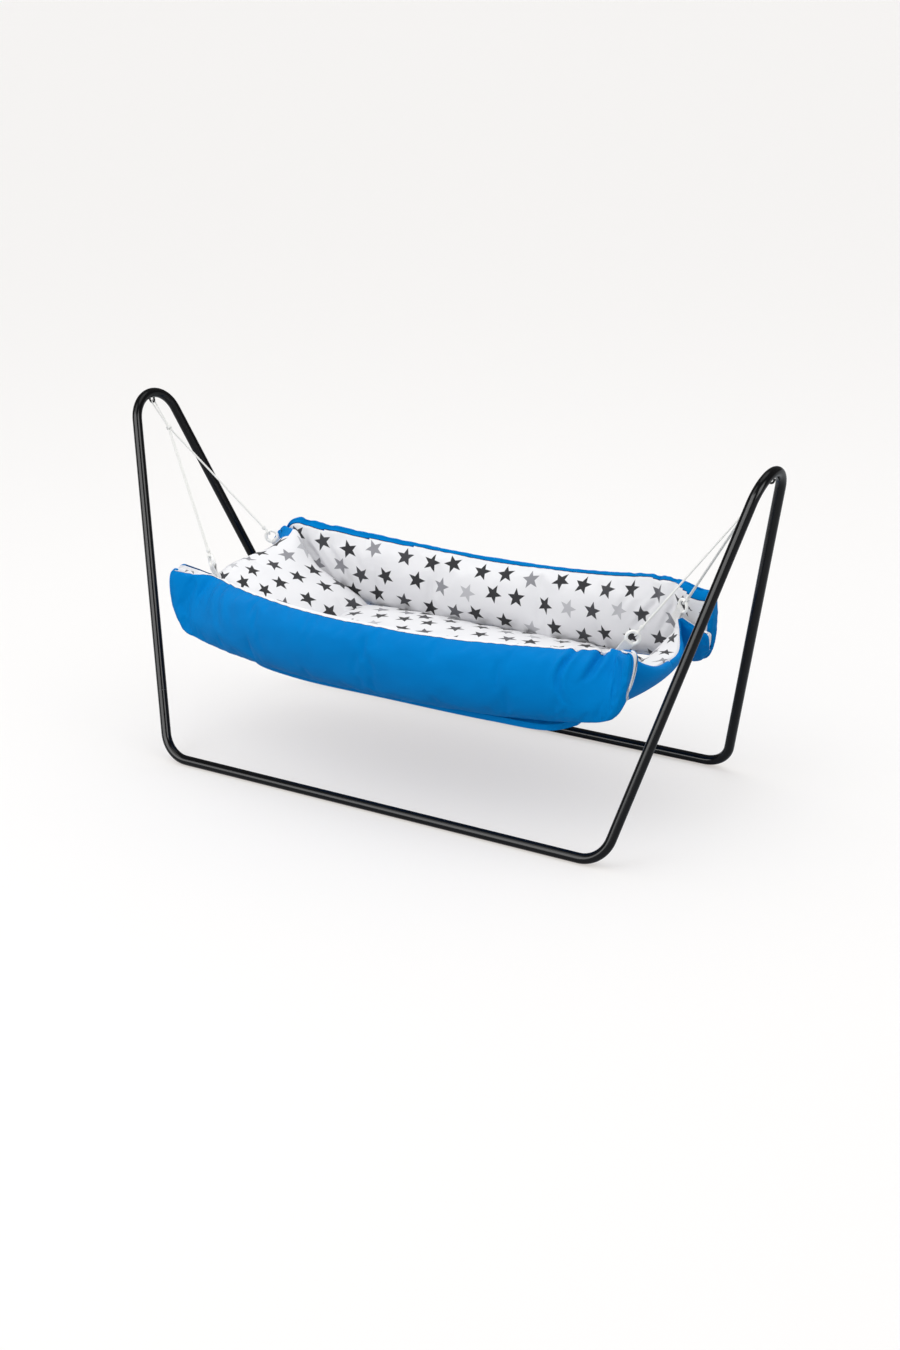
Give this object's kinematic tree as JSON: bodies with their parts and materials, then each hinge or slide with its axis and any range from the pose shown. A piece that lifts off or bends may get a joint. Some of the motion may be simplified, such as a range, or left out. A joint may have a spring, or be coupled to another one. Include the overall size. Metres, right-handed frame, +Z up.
{
  "type": "hanging baby cradle",
  "caption": "Padded cloth nest hung by cords in a stand of bent steel tube; it swings from side to side and sways a little lengthwise.",
  "frame": {"origin": "on the floor under the middle of the stand", "axes": "+Z up; +X along the cradle towards its right end; -Y towards the front side bolster"},
  "size_m": [1.4566, 0.545, 0.7193],
  "materials": {
    "steel": "semi-gloss black powder coat on steel tube",
    "zinc": "zinc plated steel sleeve",
    "cord": "white braided polyester cord",
    "nylon": "white moulded nylon",
    "webbing": "white woven cotton webbing",
    "blue_cloth": "blue satin-weave cotton, filled",
    "star_cloth": "white cotton printed with grey and black stars, filled"
  },
  "bodies": {
    "stand": {"floor_rail_front": "steel", "floor_rail_back": "steel", "arch_left": "steel", "arch_right": "steel", "cord_eye_left": "steel", "cord_eye_right": "steel", "joint_sleeve_front_left": "zinc", "joint_sleeve_front_right": "zinc", "joint_sleeve_back_left": "zinc", "joint_sleeve_back_right": "zinc"},
    "hangers": {"cord_loop_left": "cord", "cord_loop_right": "cord"},
    "sling_left": {"sling_cord_left": "cord"},
    "sling_right": {"sling_cord_right": "cord"},
    "nest": {"bolster_front": "blue_cloth", "bolster_back": "blue_cloth", "end_pad_left": "star_cloth", "end_pad_right": "star_cloth", "mattress": "star_cloth", "base_panel": "blue_cloth", "ring_front_left": "nylon", "ring_front_right": "nylon", "ring_back_left": "nylon", "ring_back_right": "nylon", "tab_front_left": "webbing", "tab_front_right": "webbing", "tab_back_left": "webbing", "tab_back_right": "webbing"}
  },
  "joints": [
    {"name": "swing", "type": "hinge", "parent": "stand", "child": "hangers", "pos_m": [0, 0, 0.69086], "axis": [1, 0, 0], "range_deg": [-20, 20]},
    {"name": "sway", "type": "hinge", "parent": "hangers", "child": "sling_left", "pos_m": [-0.71076, 0, 0.69086], "axis": [0, 1, 0], "range_deg": [-3, 3]},
    {"name": "nest_level", "type": "hinge", "parent": "sling_left", "child": "nest", "pos_m": [-0.502, 0, 0.40464], "axis": [0, 1, 0], "range_deg": [-4.4, 4.4]},
    {"name": "right_sway", "type": "hinge", "parent": "hangers", "child": "sling_right", "pos_m": [0.71076, 0, 0.69086], "axis": [0, 1, 0], "range_deg": [-3.1, 3.1]}
  ],
  "couplings": [
    {"joint": "nest_level", "follows": "sway", "ratio": -1.4159},
    {"joint": "right_sway", "follows": "sway", "ratio": 1}
  ]
}
